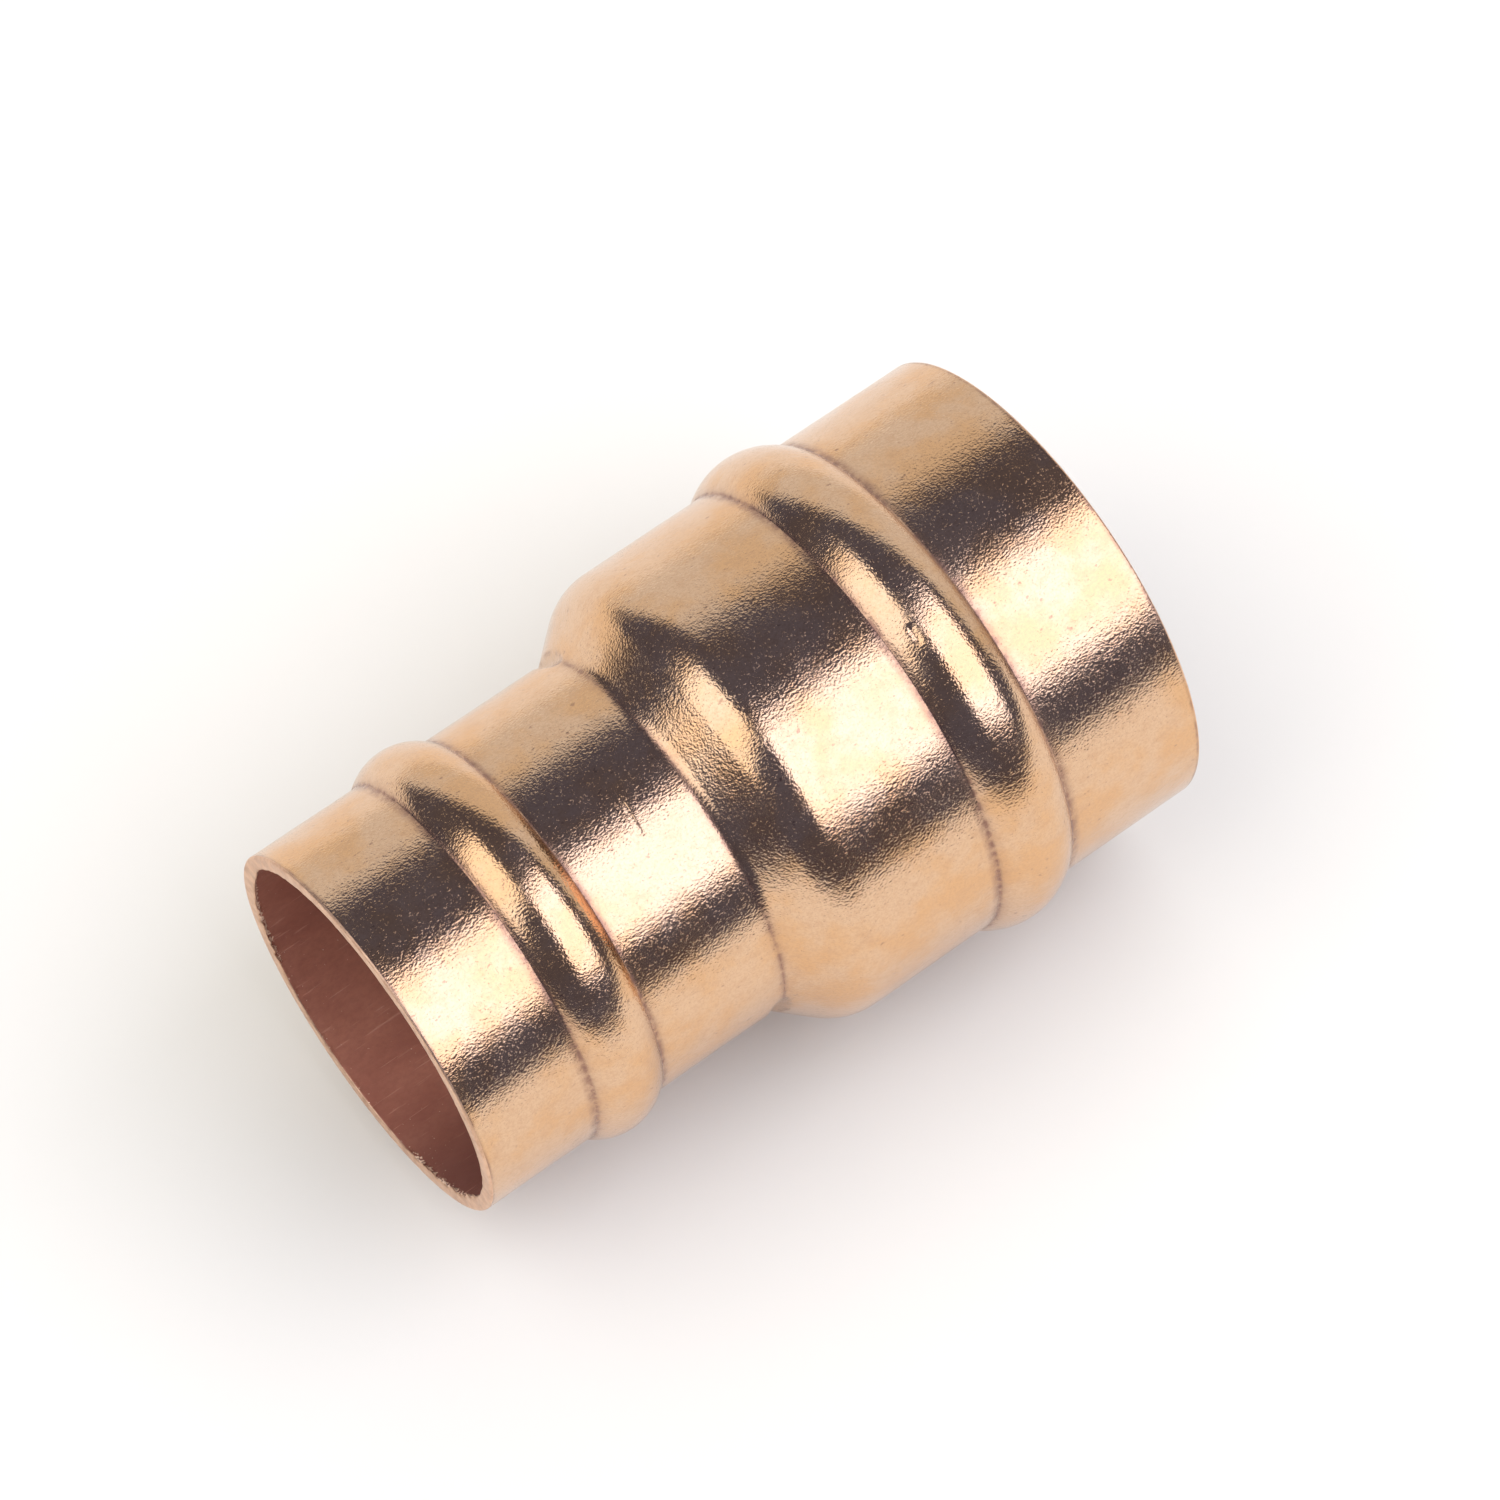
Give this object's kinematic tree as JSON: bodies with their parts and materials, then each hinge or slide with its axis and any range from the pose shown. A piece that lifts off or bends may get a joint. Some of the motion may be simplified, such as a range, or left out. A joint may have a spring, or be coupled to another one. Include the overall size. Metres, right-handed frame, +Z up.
{
  "type": "reducing coupling",
  "caption": "Copper reducing coupling: a small and a large socket joined by a tapered shoulder, each socket with a raised bead that holds a ring of solder.",
  "frame": {"origin": "on the coupling's axis, midway between its two mouths", "axes": "+X along the axis, out of the large mouth; +Z up as the coupling lies on its side"},
  "size_m": [0.0484, 0.032, 0.032],
  "materials": {
    "copper": "semi-gloss drawn copper, matte inside",
    "solder": "dull silver tin solder"
  },
  "bodies": {
    "root": {"body": "copper", "small_solder_ring": "solder", "large_solder_ring": "solder"}
  },
  "joints": []
}
